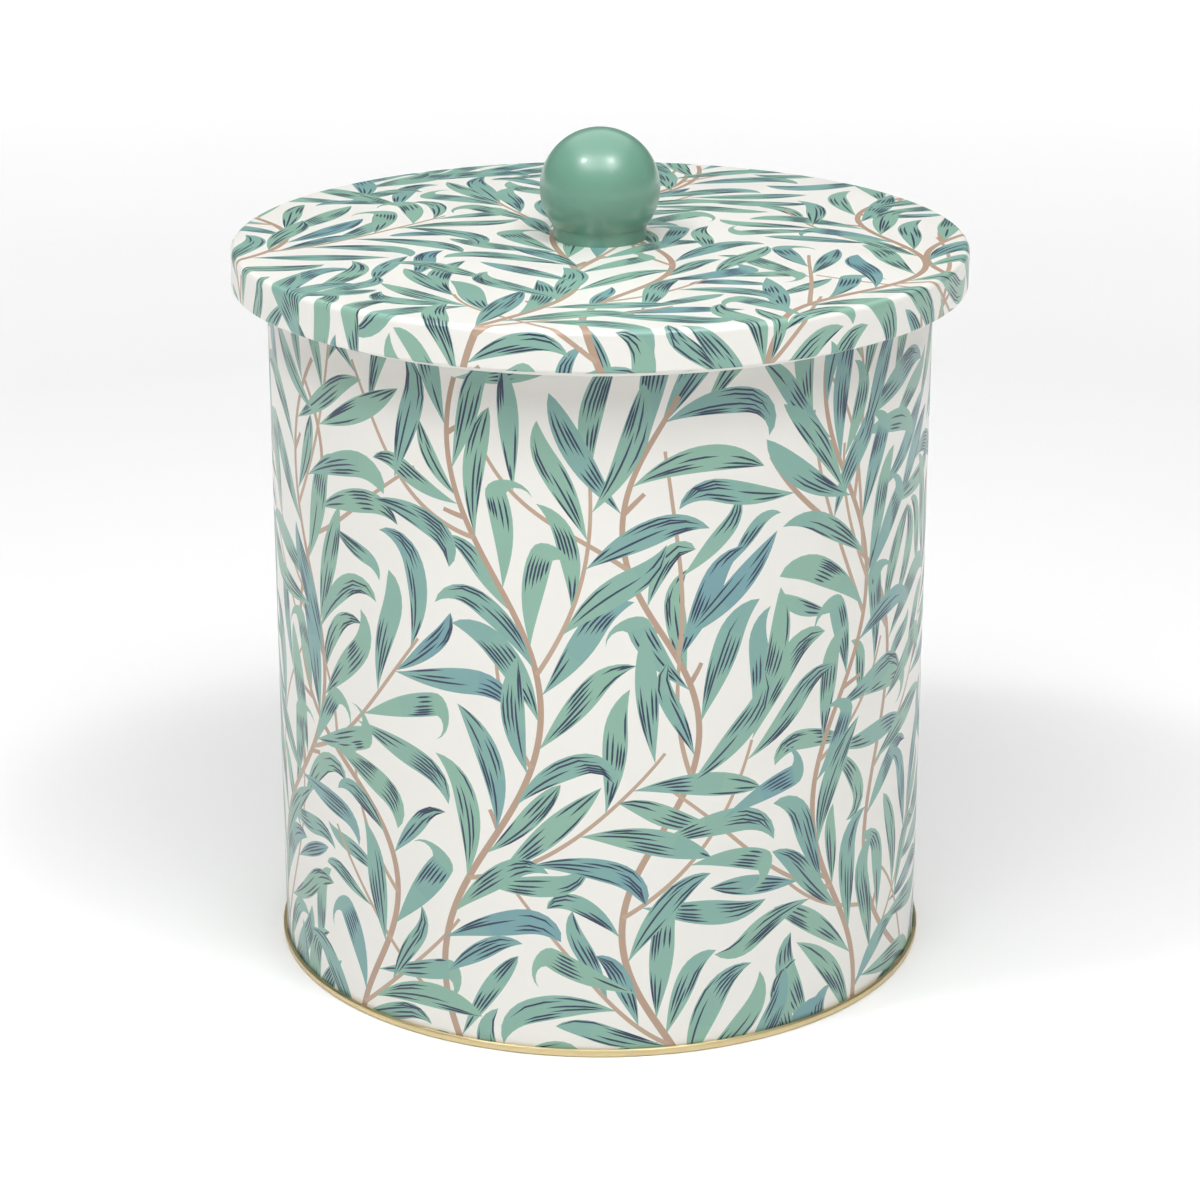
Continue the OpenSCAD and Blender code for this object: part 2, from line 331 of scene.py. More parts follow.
class Print:
    """The pattern on one flat sheet, with a map of the leaf that shows in each small square."""

    def __init__(self, low, high, seed):
        self.low = np.array(low, float)
        self.high = np.array(high, float)
        self.random = random.Random(seed)
        self.size = np.ceil((self.high - self.low) / CELL).astype(int)
        self.leaf_map = np.full(self.size, -1, np.int32)
        self.stem_map = np.zeros(self.size, bool)
        self.stems = []
        self.leaves = []
        self.behind = []        # numbers of the leaves under the stems, lowest first
        self.order = []         # numbers of the leaves over the stems, lowest first

    def cells(self, points):
        """The squares of the maps that points are in, and which points are on the sheet."""
        squares = ((points - self.low) / CELL).astype(int)
        inside = ((squares >= 0) & (squares < self.size)).all(1)
        return squares, inside

    def look(self, table, points, outside):
        """What a map holds at some points."""
        squares, inside = self.cells(points)
        found = np.full(len(points), outside, table.dtype)
        found[inside] = table[squares[inside, 0], squares[inside, 1]]
        return found

    def add_stem(self, start, heading, length, sway, wave, phase, bend, thick, ink, step=1.5):
        """A stem whose heading sways like a wave, and turns by bend in all."""
        along = np.arange(max(4, int(length / step))) * step
        swing = sway * np.sin(2 * math.pi * along / wave + phase)
        headings = heading + swing + bend * along / length
        stem = Stem(start, headings, step, thick, ink)
        self.stems.append(stem)
        for offset in (-0.5, 0, 0.5):
            squares, inside = self.cells(stem.points + stem.across * offset)
            self.stem_map[squares[inside, 0], squares[inside, 1]] = True
        return stem

    def clash(self, leaf, start):
        """Shares of a leaf that lie on other leaves and on stems."""
        points = leaf.spread(12, 5, CLEARANCE, start)
        on_leaf = (self.look(self.leaf_map, points, -1) >= 0).mean()
        on_stem = self.look(self.stem_map, points, False).mean()
        return on_leaf, on_stem

    def place(self, leaf, under, behind=False):
        """Adds a leaf over all the others, or under those that it meets, or behind the stems too."""
        number = len(self.leaves)
        self.leaves.append(leaf)
        squares, inside = self.cells(leaf.spread(70, 19))
        squares = squares[inside]
        shown = self.leaf_map[squares[:, 0], squares[:, 1]]
        if behind:
            self.behind.insert(0, number)
        elif under:
            met = set(shown[shown >= 0].tolist())
            lowest = min((self.order.index(n) for n in met), default=len(self.order))
            self.order.insert(lowest, number)
        else:
            self.order.append(number)
        if under or behind:
            squares = squares[shown < 0]
        self.leaf_map[squares[:, 0], squares[:, 1]] = number

    def random_leaf(self, start, heading, length, side, bend=None, fold=0):
        """A leaf of random width, curve and tint. side is the side of its stem that it grows on."""
        r = self.random
        if bend is None:
            bend = side * r.uniform(-0.6, 1.0)
        hook = r.choice([0, 1, 1, 1, -1]) * side * r.uniform(0.5, 1.5)
        width = length * r.uniform(0.14, 0.18) + 0.7
        lean = r.uniform(-0.35, 0.35)
        taper = r.uniform(0.7, 1.05)
        tint = r.choice(TINT_ODDS)
        drift = r.choice([-1, 0, 1])
        return Leaf(start, heading, length, width, bend, hook, lean, taper, tint, drift, fold)

    def leaf_on_stem(self, stem, i, side):
        """The best of some random leaves that grow from a point of a stem, if it has room."""
        r = self.random
        best = None
        for attempt in range(LEAF_TRIES):
            heading = stem.headings[i] + side * r.uniform(0.3, 0.95)
            start = stem.points[i] + stem.across[i] * side * stem.half[i] * 0.6
            length = LEAF_LENGTH * r.uniform(0.66, 1.15)
            turned = length > FOLD_LENGTH and r.random() < FOLD_ODDS
            fold = side * r.choice([-1, 1]) if turned else 0
            leaf = self.random_leaf(start, heading, length, side, fold=fold)
            on_leaf, on_stem = self.clash(leaf, 0.2)
            score = on_leaf + 1.6 * on_stem - 0.008 * length
            if best is None or score < best[0]:
                best = (score, leaf, on_leaf)
        if best[2] < 0.2:
            self.place(best[1], under=r.random() < 0.6)

    def dress(self, stem):
        """Leaves along a stem, left and right in turn."""
        r = self.random
        side = r.choice([-1, 1])
        along = LEAF_PITCH * r.uniform(0.3, 0.8)
        while along < (len(stem.points) - 1) * stem.step - 2:
            self.leaf_on_stem(stem, int(along / stem.step), side)
            side = -side
            along += LEAF_PITCH * r.uniform(0.75, 1.2)

    def gaps(self, least):
        """Centres of the empty places that are at least so deep, deepest first."""
        depth = np.zeros(self.size, int)
        level = self.leaf_map < 0
        steps = 0
        while level.any() and steps < 24:
            steps += 1
            depth[level] = steps
            ways = BESIDE + ASLANT if steps % 2 else BESIDE
            level = level & np.all(neighbours(level, ways, True), axis=0)
        peak = depth >= least / CELL
        for near in neighbours(depth, BESIDE, 0):
            peak[1:-1, 1:-1] &= (depth >= near)[1:-1, 1:-1]
        where = np.argwhere(peak)[np.argsort(-depth[peak], kind="stable")]
        return self.low + (where + 0.5) * CELL

    def fill(self, least, shortest, longest, limit):
        """Leaves behind the others in the empty places that are at least so deep.

        A leaf is left out where its score is over the limit: where it lies on too much, or bends badly.
        """
        r = self.random
        feet = np.vstack([stem.points for stem in self.stems])
        ways = np.hstack([stem.headings for stem in self.stems])
        done = []
        for centre in self.gaps(least):
            if any(abs(centre - other).sum() < 1.7 * least for other in done):
                continue
            done.append(centre)
            away = np.hypot(*(feet - centre).T)
            near = np.flatnonzero((away > 0.4 * shortest) & (away < 0.75 * longest))
            best = None
            for attempt in range(GAP_TRIES):
                if len(near) and attempt % 3:
                    found = self.leaf_from_foot(centre, feet, ways, away, near, shortest, longest)
                else:
                    found = self.leaf_from_behind(centre, shortest, longest)
                if found is None:
                    continue
                leaf, cost = found
                on_leaf, on_stem = self.clash(leaf, 0.3)
                score = on_leaf + 1.2 * on_stem + cost - 0.008 * leaf.length
                if best is None or score < best[0]:
                    best = (score, leaf)
            if best and best[0] < limit:
                self.place(best[1], under=True, behind=True)

    def leaf_from_foot(self, centre, feet, ways, away, near, shortest, longest):
        """A leaf from some point of a stem through an empty place."""
        r = self.random
        i = near[r.randrange(len(near))]
        length = away[i] / r.uniform(0.45, 0.7)
        chord = math.atan2(*(centre - feet[i]))
        turn = (chord - ways[i] + math.pi) % (2 * math.pi) - math.pi
        if abs(turn) > 1.5 or not shortest < length < longest:
            return None
        bend = r.uniform(-1, 1)
        side = 1 if turn > 0 else -1
        leaf = self.random_leaf(feet[i], chord - 0.1 * bend, length, side, bend)
        return leaf, 0.12 * abs(turn)

    def leaf_from_behind(self, centre, shortest, longest):
        """A leaf through an empty place whose foot is hidden, if another leaf covers it."""
        r = self.random
        heading = r.uniform(-1.4, 1.4)
        length = r.uniform(shortest, longest)
        start = centre - direction(heading) * length * r.uniform(0.4, 0.7)
        leaf = self.random_leaf(start, heading, length, r.choice([-1, 1]))
        hidden = (self.look(self.leaf_map, leaf.points[:4], 0) >= 0).all()
        return leaf, 0.12 if hidden else 0.6

    def hatch(self, number):
        """Strokes of one leaf: the shade of what lies over it, its midrib, and clusters beside it."""
        r = self.random
        leaf = self.leaves[number]
        end = leaf.t[leaf.last]
        wide = (leaf.left + leaf.right) / 2
        half = wide.max()
        drawn = []

        def draw(t0, t1, q, inner=2):
            """Draws a stroke if it keeps clear of the ones before it."""
            t0, t1 = max(t0, 0.05), min(t1, end - 0.01)
            here = np.interp((t0 + t1) / 2, leaf.t, wide)
            room = 0.75 * HATCH_PITCH
            clear = all(t1 < a or t0 > b or abs(q - other) * here > room for a, b, other, _ in drawn)
            if clear and t1 - t0 > 0.05 and abs(q) < 0.9:
                drawn.append((t0, t1, q, leaf.stroke(t0, t1, q, inner)))

        places = np.linspace(0.04, end, 41)
        shown = self.look(self.leaf_map, leaf.at(places, 0 * places), number) == number
        edges = [(places[i], 1 if shown[i] else -1)
                 for i in range(1, len(places)) if shown[i] != shown[i - 1]]
        if leaf.fold:
            edges.append((end, -1))
        for edge, way in edges:
            here = np.interp(edge + way * 1.5 / leaf.length, leaf.t, wide)
            count = int(1.8 * here / HATCH_PITCH)
            rise = r.choice([-1, 1])
            for k in range(count):
                q = 0.85 * ((2 * k + 1) / count - 1)
                reach = SHADE + 2.4 * rise * (2 * k / count - 1) + r.uniform(-0.9, 0.9)
                ends = (edge - way * 1.0 / leaf.length, edge + way * reach / leaf.length)
                draw(min(ends), max(ends), q)
        side = r.choice([-1, 1])
        rib = r.uniform(-0.12, 0.12)
        draw(r.uniform(0.05, 0.12), r.uniform(0.45, 0.82), rib, inner=5)
        places = [r.uniform(0.08, 0.18), r.uniform(0.3, 0.42), r.uniform(0.52, 0.62)]
        for place in r.sample(places, r.choice([2, 2, 3, 3])):
            slope = r.uniform(-0.05, 0.05)
            first = r.uniform(0.7, 0.85)
            for k in range(r.choice([4, 5, 5, 6, 7])):
                t0 = place + slope * k + r.uniform(-0.015, 0.015)
                t1 = t0 + STROKE / leaf.length * r.uniform(0.75, 1.2)
                draw(t0, t1, side * (first - k * HATCH_PITCH / half))
            side = -side
        return [stroke for t0, t1, q, stroke in drawn if self.shows(stroke, number)]

    def shows(self, stroke, number):
        """Whether enough of a stroke lies where its own leaf is the one on top."""
        half = len(stroke) // 2
        middle = (stroke[1:half] + stroke[::-1][:half - 1]) / 2
        return (self.look(self.leaf_map, middle, number) == number).mean() > 0.3

    def leaf_shapes(self, number):
        """The outlines of one leaf, its strokes and its turned tip, each with its ink."""
        leaf = self.leaves[number]
        tint = leaf.tint
        found = []
        for start in (0.0, 0.4, 0.7) if leaf.drift else (0.0,):
            found.append((leaf.outline(start), INK["leaf_%d" % tint]))
            tint = min(TINTS - 1, max(0, tint + leaf.drift))
        found.extend((stroke, INK["hatch"]) for stroke in self.hatch(number))
        if leaf.fold:
            found.append((leaf.lobe, INK["leaf_%d" % max(0, leaf.tint - 1)]))
        return found

    def shapes(self):
        """Every outline with its ink, lowest first."""
        found = [shape for number in self.behind for shape in self.leaf_shapes(number)]
        found += [(outline, stem.ink) for stem in self.stems for outline in stem.outlines()]
        return found + [shape for number in self.order for shape in self.leaf_shapes(number)]


def willow(low, high, trunks, seed):
    """The whole pattern of one sheet: stems from bottom to top, their branches, and the leaves."""
    sheet = Print(low, high, seed)
    r = sheet.random
    height = high[1] - low[1]
    spacing = (high[0] - low[0]) / trunks
    for k in range(trunks):
        foot = (low[0] + (k + 0.5 + r.uniform(-0.2, 0.2)) * spacing, low[1] - OVERHANG)
        trunk = sheet.add_stem(
            foot, heading=r.uniform(-0.3, 0.3), length=height + 2 * OVERHANG,
            sway=r.uniform(0.45, 0.75), wave=r.uniform(90, 130), phase=r.uniform(0, 6.28),
            bend=0, thick=(1.6, 1.1), ink="stem")
        side = r.choice([-1, 1])
        along = r.uniform(10, 26)
        while along < height - 4:
            i = int(along / trunk.step)
            sheet.add_stem(
                trunk.points[i], heading=trunk.headings[i] + side * r.uniform(0.55, 0.85),
                length=r.uniform(30, 58), sway=r.uniform(0.05, 0.2), wave=r.uniform(50, 80),
                phase=r.uniform(0, 6.28), bend=-side * r.uniform(0.3, 0.9), thick=(1.05, 0.7),
                ink="twig")
            side = -side
            along += r.uniform(22, 34)
        for stub in range(STUBS):
            i = r.randrange(4, len(trunk.points) - 4)
            sheet.add_stem(
                trunk.points[i], heading=trunk.headings[i] + r.choice([-1, 1]) * r.uniform(0.6, 1.0),
                length=r.uniform(5, 9), sway=0, wave=50, phase=0, bend=r.uniform(-0.3, 0.3),
                thick=(1.2, 0.9), ink="stem", step=1.0)
    for stem in list(sheet.stems):
        if len(stem.points) > STUB_POINTS:
            sheet.dress(stem)
    sheet.fill(least=4.5, shortest=18, longest=31, limit=0.28)
    sheet.fill(least=3.6, shortest=15, longest=27, limit=0.22)
    return sheet.shapes()


# -------- cutting the sheet into triangles

SNAP = 1024             # points are held to this fraction of a millimetre


def closed_edges(outline):
    """The edges of a closed outline, one row (x0, y0, x1, y1) each."""
    return np.hstack([outline, np.roll(outline, -1, 0)])


def clip(edges, low, high):
    """The parts of the edges inside a rectangle."""
    start, way = edges[:, :2], edges[:, 2:] - edges[:, :2]
    t0, t1 = np.zeros(len(edges)), np.ones(len(edges))
    with np.errstate(divide="ignore", invalid="ignore"):
        for axis in (0, 1):
            for bound in (low[axis], high[axis]):
                t = (bound - start[:, axis]) / way[:, axis]
                enters = (way[:, axis] > 0) == (bound == low[axis])
                moving = way[:, axis] != 0
                t0 = np.where(moving & enters, np.maximum(t0, t), t0)
                t1 = np.where(moving & ~enters, np.minimum(t1, t), t1)
            still = way[:, axis] == 0
            outside = still & ((start[:, axis] < low[axis]) | (start[:, axis] > high[axis]))
            t1 = np.where(outside, -1, t1)
    keep = t1 - t0 > 1e-9
    start, way, t0, t1 = start[keep], way[keep], t0[keep, None], t1[keep, None]
    return np.hstack([start + way * t0, start + way * t1])


def cut(edges, xs, ys):
    """Triangles of a grid of rectangles that follow all the edges, merged where the rectangles meet."""
    tiles = []
    for x0, x1 in zip(xs[:-1], xs[1:]):
        column = clip(edges, (x0, ys[0]), (x1, ys[-1]))
        for y0, y1 in zip(ys[:-1], ys[1:]):
            corners = np.array([(x0, y0), (x1, y0), (x1, y1), (x0, y1)])
            inside = np.vstack([clip(column, corners[0], corners[2]), closed_edges(corners)])
            tiles.append((np.round(corners[[0, 2]] * SNAP), np.round(inside.reshape(-1, 2) * SNAP)))
    shared = np.unique(np.vstack([ends for limits, ends in tiles]), axis=0)
    points, triangles, count = [], [], 0
    for (low, high), ends in tiles:
        border = ((shared >= low) & (shared <= high)).all(1)
        border &= ((shared == low) | (shared == high)).any(1)
        places, number = np.unique(np.vstack([ends, shared[border]]), axis=0, return_inverse=True)
        pairs = np.unique(np.sort(number.reshape(-1)[:len(ends)].reshape(-1, 2), 1), axis=0)
        pairs = pairs[pairs[:, 0] != pairs[:, 1]]
        corners = [Vector(p) for p in (places / SNAP).tolist()]
        found = delaunay_2d_cdt(corners, pairs.tolist(), [], 0, 1e-5)
        points.append(np.array([tuple(p) for p in found[0]]))
        triangles.append(np.array(found[2]) + count)
        count += len(points[-1])
    points, number = np.unique(np.round(np.vstack(points) * SNAP), axis=0, return_inverse=True)
    triangles = number.reshape(-1)[np.vstack(triangles)]
    whole = ((triangles[:, 0] != triangles[:, 1]) & (triangles[:, 1] != triangles[:, 2])
             & (triangles[:, 2] != triangles[:, 0]))
    return points / SNAP, triangles[whole]


def paint_inks(centres, shapes):
    """Ink at each centre: that of the last shape that holds it."""
    ink = np.zeros(len(centres), int)
    order = np.argsort(centres[:, 0], kind="stable")
    x, y = centres[order, 0], centres[order, 1]
    for outline, number in shapes:
        low, high = outline.min(0), outline.max(0)
        span = slice(*np.searchsorted(x, [low[0], high[0]]))
        rows = np.flatnonzero((y[span] > low[1]) & (y[span] < high[1])) + span.start
        px, py = x[rows, None], y[rows, None]
        (ax, ay), (bx, by) = outline.T, np.roll(outline, -1, 0).T
        with np.errstate(divide="ignore", invalid="ignore"):
            crosses = ((ay > py) != (by > py)) & (px < ax + (py - ay) * (bx - ax) / (by - ay))
        ink[order[rows[crosses.sum(1) % 2 == 1]]] = number
    return ink


def ink_borders(points, triangles, ink):
    """The edges between triangles of different inks."""
    sides = np.vstack([triangles[:, [0, 1]], triangles[:, [1, 2]], triangles[:, [2, 0]]])
    sides, number = np.unique(np.sort(sides, 1), axis=0, return_inverse=True)
    lowest = np.full(len(sides), len(INKS))
    highest = np.full(len(sides), -1)
    np.minimum.at(lowest, number.reshape(-1), np.tile(ink, 3))
    np.maximum.at(highest, number.reshape(-1), np.tile(ink, 3))
    return points[sides[lowest != highest]].reshape(-1, 4)


def printed_sheet(shapes, borders, within, lines, xs, ys):
    """Triangles of one ink each. Nothing is printed where within says no, and lines are cut in too.

    A first cut finds the borders between inks that can be seen. Only those go into the second one.
    """
    def cut_and_ink(edges):
        points, triangles = cut(edges, xs, ys)
        centres = points[triangles].mean(1)
        ink = paint_inks(centres, shapes)
        ink[~within(centres)] = INK["ground"]
        return points, triangles, ink

    outlines = [outline for outline, number in shapes] + borders
    first = cut_and_ink(np.vstack([closed_edges(outline) for outline in outlines]))
    return cut_and_ink(np.vstack([ink_borders(*first), lines]))


# -------- building a skin from patches

class Skin:
    """The faces of one piece, gathered patch by patch, with the true normal at every corner.

    Patches meet where their points agree.
    """
    FINE = 16384        # points that agree to this fraction of a millimetre are one

    def __init__(self):
        self.points, self.normals, self.faces, self.materials = [], [], [], []
        self.count = 0

    def add(self, points, normals, faces, materials):
        """Adds faces, given by the numbers of their corners in points, each with a material slot."""
        self.points.append(np.asarray(points, float).reshape(-1, 3))
        self.normals.append(np.asarray(normals, float).reshape(-1, 3))
        self.faces.extend((np.asarray(faces) + self.count).tolist())
        self.materials.extend(materials)
        self.count += len(self.points[-1])

    def add_flat(self, points, material):
        """One flat face."""
        points = np.array(points)
        normal = np.cross(points, np.roll(points, -1, 0)).sum(0)
        self.add(points, [normal] * len(points), [range(len(points))], [material])

    def add_rows(self, rows, normals, material, closed=True):
        """Bands between rows of points.

        In a cross-section they face left of the way from row to row.
        """
        rows, normals = np.asarray(rows), np.asarray(normals)
        steps = rows.shape[1] if closed else rows.shape[1] - 1
        near = np.arange(steps)
        far = (near + 1) % rows.shape[1]
        faces = []
        for row in range(len(rows) - 1):
            a, b = row * rows.shape[1], (row + 1) * rows.shape[1]
            faces.append(np.stack([a + near, b + near, b + far, a + far], 1))
        faces = np.vstack(faces)
        self.add(rows, normals, faces, [material] * len(faces))

    def build(self, name, materials):
        """The piece, with points that agree merged and faces without area left out."""
        points, normals = np.vstack(self.points), np.vstack(self.normals)
        keys, first, number = np.unique(np.round(points * self.FINE).astype(np.int64), axis=0,
                                        return_index=True, return_inverse=True)
        number = number.reshape(-1).tolist()
        faces, kinds, corners = [], [], []
        for face, kind in zip(self.faces, self.materials):
            kept = [i for k, i in enumerate(face) if number[i] != number[face[k - 1]]]
            if len(kept) > 2:
                faces.append([number[i] for i in kept])
                kinds.append(kind)
                corners.extend(kept)
        mesh = bpy.data.meshes.new(name)
        mesh.from_pydata((points[first] * MM).tolist(), [], faces)
        for material in materials:
            mesh.materials.append(material)
        mesh.polygons.foreach_set("material_index", kinds)
        mesh.polygons.foreach_set("use_smooth", [True] * len(faces))
        normals /= np.linalg.norm(normals, axis=1)[:, None]
        mesh.normals_split_custom_set(normals[corners].tolist())
        piece = bpy.data.objects.new(name, mesh)
        bpy.context.scene.collection.objects.link(piece)
        return piece


def arc(x, z, radius, first, last, steps):
    """Points of an arc between two angles in degrees."""
    angles = np.radians(np.linspace(first, last, steps + 1))
    return [(x + radius * math.cos(a), z + radius * math.sin(a)) for a in angles]


def swept(profile, angles):
    """Rows of points, or of normals, that a profile in cross-section sweeps through some angles."""
    profile = np.asarray(profile)
    flat = profile[:, 0, None, None] * np.stack([np.cos(angles), np.sin(angles)], 1)
    height = np.repeat(profile[:, 1, None], len(angles), 1)
    return np.concatenate([flat, height[:, :, None]], 2)


def snapped(values):
    """Values held to the same fraction of a millimetre as the points of a cut sheet."""
    return np.round(np.asarray(values) * SNAP) / SNAP


# -------- the printed wall

low, high = (np.array(corner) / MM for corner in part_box("body_wall"))
RIM = 1.2               # outer radius of the curl round the mouth
CURL_R = RIM - SHEET / 2
LAYER = SHEET + 0.03    # from one sheet of the double seam to the next
BODY_R = high[0] - 2 * RIM + SHEET
BODY_H = high[2]
WALL_R = BODY_R - SHEET / 2
FOLD_Z = SHEET / 2 + 2 * LAYER
HOOK_Z = 1.25           # height of the body hook's edge
HOOK_STEPS, CURL_STEPS = 10, 24
PRINT_Z = (1.0, BODY_H - 1.5)
SEAM_HALF = 2.2         # nothing is printed so near the side seam
STRIP_HALF = 2.0        # the seam's folded layers, inside the wall
STRIP_T = 0.5
STRIP_Z = (6, BODY_H - 18)
GROOVE_HALF = 0.2       # the line that it leaves outside
GROOVE_DEEP = 0.1
GROOVE_Z = (2.2, BODY_H - 2.9)
EDGE = 0.02             # the print stops so far short of the outermost points
WALL_TRUNKS, WALL_SEED = 12, 5
WALL_TILES = 12, 5      # rectangles that the sheet is cut in, across and up

around = 2 * math.pi * BODY_R


def wall_angle(u):
    """Angle of a place on the wall, u millimetres to the right of the front."""
    return np.asarray(u) / BODY_R - math.pi / 2


def on_wall(points, radius):
    """Places on the rolled wall of points on the flat sheet."""
    angle = wall_angle(points[:, 0])
    return np.stack([radius * np.cos(angle), radius * np.sin(angle), points[:, 1]], 1)


def radial(points):
    """Normals that point away from the axis."""
    return points * (1, 1, 0)


def seam(skin, radius, rows, half, reach, depth, material, inward):
    """The strip of wall along the side seam, on one face of the wall, with a raised or sunk band.

    rows are the heights of the points down both sides. The band reaches half to either side of the
    seam and between the two heights of reach, and stands depth nearer to the axis than the rest.
    """
    columns = [station_end] + seam_columns + [around - station_end]
    left, right = around / 2 - half, around / 2 + half
    bottom, top = rows[0], rows[-1]

    def face(corners, flat=False):
        """Adds a face. A corner with a third value is on the band."""
        points = np.vstack([on_wall(np.array([c[:2]]), radius - depth * len(c[2:])) for c in corners])
        if inward:
            points = points[::-1]
        if flat:
            skin.add_flat(points, material)
        else:
            normals = radial(points) * (-1 if inward else 1)
            skin.add(points, normals, [range(len(points))], [material])

    def within(first, last):
        """Columns between two places."""
        return [u for u in columns if first - 1e-6 <= u <= last + 1e-6]

    low, high = reach
    before, between, beyond = within(columns[0], left), within(left, right), within(right, columns[-1])
    face([(u, bottom) for u in before] + [(left, low), (left, high)]
         + [(u, top) for u in reversed(before)] + [(columns[0], z) for z in reversed(rows[1:-1])])
    face([(u, bottom) for u in beyond] + [(columns[-1], z) for z in rows[1:-1]]
         + [(u, top) for u in reversed(beyond)] + [(right, high), (right, low)])
    face([(u, bottom) for u in between] + [(right, low), (left, low)])
    face([(left, high), (right, high)] + [(u, top) for u in reversed(between)])
    corners = [(left, low), (right, low), (right, high), (left, high)]
    face([c + (1,) for c in corners], flat=True)
    for a, b in zip(corners, corners[1:] + corners[:1]):
        face([a, b, b + (1,), a + (1,)], flat=True)


stations = snapped(np.linspace(-around / 2 + SEAM_HALF, around / 2 - SEAM_HALF, SEGMENTS + 1))
station_end = stations[-1]
seam_columns = [around / 2 + away for away in (-STRIP_HALF, -GROOVE_HALF, GROOVE_HALF, STRIP_HALF)]
ring = wall_angle(np.concatenate([stations, seam_columns]))
print_z = snapped(PRINT_Z)
xs = stations[::SEGMENTS // WALL_TILES[0]]
ys = snapped(np.linspace(print_z[0], print_z[1], WALL_TILES[1] + 1))


side, foot, head = station_end - EDGE, print_z[0] + EDGE, print_z[1] - EDGE
border = np.array([(-side, foot), (side, foot), (side, head), (-side, head)])


def in_wall_print(points):
    """Whether points lie inside the border of the print."""
    return (abs(points[:, 0]) < side) & (points[:, 1] > foot) & (points[:, 1] < head)


uprights = np.array([(u, print_z[0], u, print_z[1]) for u in stations])
shapes = willow((-around / 2, 0), (around / 2, BODY_H), WALL_TRUNKS, WALL_SEED)
points, triangles, ink = printed_sheet(shapes, [border], in_wall_print, uprights, xs, ys)

wall = Skin()
placed = on_wall(points, BODY_R)
wall.add(placed, radial(placed), triangles, ink.tolist())
seam(wall, BODY_R, ys.tolist(), GROOVE_HALF, GROOVE_Z, GROOVE_DEEP, INK["ground"], inward=False)


def wall_side(offset):
    """One face of the wall in cross-section: the body hook with the fold at the foot, and the curl.

    offset is the way from the middle of the sheet, positive inside the body.
    """
    hook = [(WALL_R + 2 * LAYER + offset, HOOK_Z)]
    hook += arc(WALL_R + LAYER, FOLD_Z, LAYER + offset, 0, -180, HOOK_STEPS)
    return hook, arc(WALL_R + CURL_R, BODY_H - RIM, CURL_R + offset, 180, -90, CURL_STEPS)


hook_in, curl_in = wall_side(SHEET / 2)
hook_out, curl_out = wall_side(-SHEET / 2)
hook_in_normals = np.array([(1, 0)] + arc(0, 0, 1, 0, -180, HOOK_STEPS))
curl_in_normals = np.array(arc(0, 0, 1, 180, -90, CURL_STEPS))
wall.add_rows(swept(hook_in, ring), swept(hook_in_normals, ring), INNER_SIDE)
wall.add_rows(swept(curl_in, ring), swept(curl_in_normals, ring), INNER_SIDE)
backwards = ring[::-1]
wall.add_rows(swept(hook_out + [(BODY_R, print_z[0])], backwards),
              swept(np.vstack([-hook_in_normals, (1, 0)]), backwards), INK["ground"])
wall.add_rows(swept([(BODY_R, print_z[1])] + curl_out, backwards),
              swept(np.vstack([(1, 0), -curl_in_normals]), backwards), INK["ground"])
wall.add_rows(swept([hook_out[0], hook_in[0]], ring), swept([(0, 1), (0, 1)], ring), INNER_SIDE)
wall.add_rows(swept([curl_out[-1], curl_in[-1]], backwards),
              swept([(-1, 0), (-1, 0)], backwards), INNER_SIDE)
wall.add_rows(swept([hook_in[-1], curl_in[0]], wall_angle(stations)),
              swept([(-1, 0), (-1, 0)], wall_angle(stations)), INNER_SIDE, closed=False)
seam(wall, BODY_R - SHEET, [FOLD_Z, BODY_H - RIM], STRIP_HALF, STRIP_Z, STRIP_T, INNER_SIDE,
     inward=True)
body = wall.build("printed_wall", ink_materials + [white])
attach(body, "caddy")
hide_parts("body_wall")


# -------- the printed lid

low, high = (np.array(corner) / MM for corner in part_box("lid_cap"))
LID_R = high[0]
LID_Z, LID_TOP = low[2], high[2]
HOLE_R = 2.2
BARE_R = 5              # nothing is printed round the hole, which the knob hides
CORNER = 1.2 + SHEET / 2        # radius of the top edge, on the outside
FOOT = 0.5 + SHEET / 2          # radius of the bottom edge, on the outside
LIP_R = LID_R - SHEET / 2 - 2.7         # inner edge of the folded-in lip
CORNER_STEPS, FOOT_STEPS = 8, 5
CUT_ANGLES = [180, 132.5, 110, 90, 70, 47.5, 0]     # places of the cuts, as angles round the edge
LID_TRUNKS, LID_SEED = 5, 11

lid_ring = np.linspace(0, 2 * math.pi, SEGMENTS + 1)[:-1]
flat_r = LID_R - CORNER
skirt_s = flat_r + CORNER * math.pi / 2
foot_s = skirt_s + (LID_TOP - CORNER) - (LID_Z + FOOT)
end_s = foot_s + FOOT * math.pi / 2


def over_edge(s):
    """Radius, height and normal of the place s millimetres from the middle, along the outside."""
    corner = np.clip((s - flat_r) / CORNER, 0, math.pi / 2)
    foot = np.clip((s - foot_s) / FOOT, 0, math.pi / 2)
    down = np.clip(s, skirt_s, foot_s) - skirt_s
    turn = corner + foot
    radius = np.minimum(s, flat_r) + CORNER * np.sin(corner) - FOOT * (1 - np.cos(foot))
    height = LID_TOP - CORNER * (1 - np.cos(corner)) - down - FOOT * np.sin(foot)
    return radius, height, np.sin(turn), np.cos(turn)


def on_lid(points):
    """Places on the drawn lid of points on the flat sheet, and the normals there."""
    s = np.hypot(points[:, 0], points[:, 1])
    radius, height, out, up = over_edge(s)
    way = points / np.maximum(s, 1e-6)[:, None]
    return (np.hstack([way * radius[:, None], height[:, None]]),
            np.hstack([way * out[:, None], up[:, None]]))


def polygon(radius):
    """The ring of stations at one radius of the flat sheet."""
    return snapped(radius * np.stack([np.cos(lid_ring), np.sin(lid_ring)], 1))


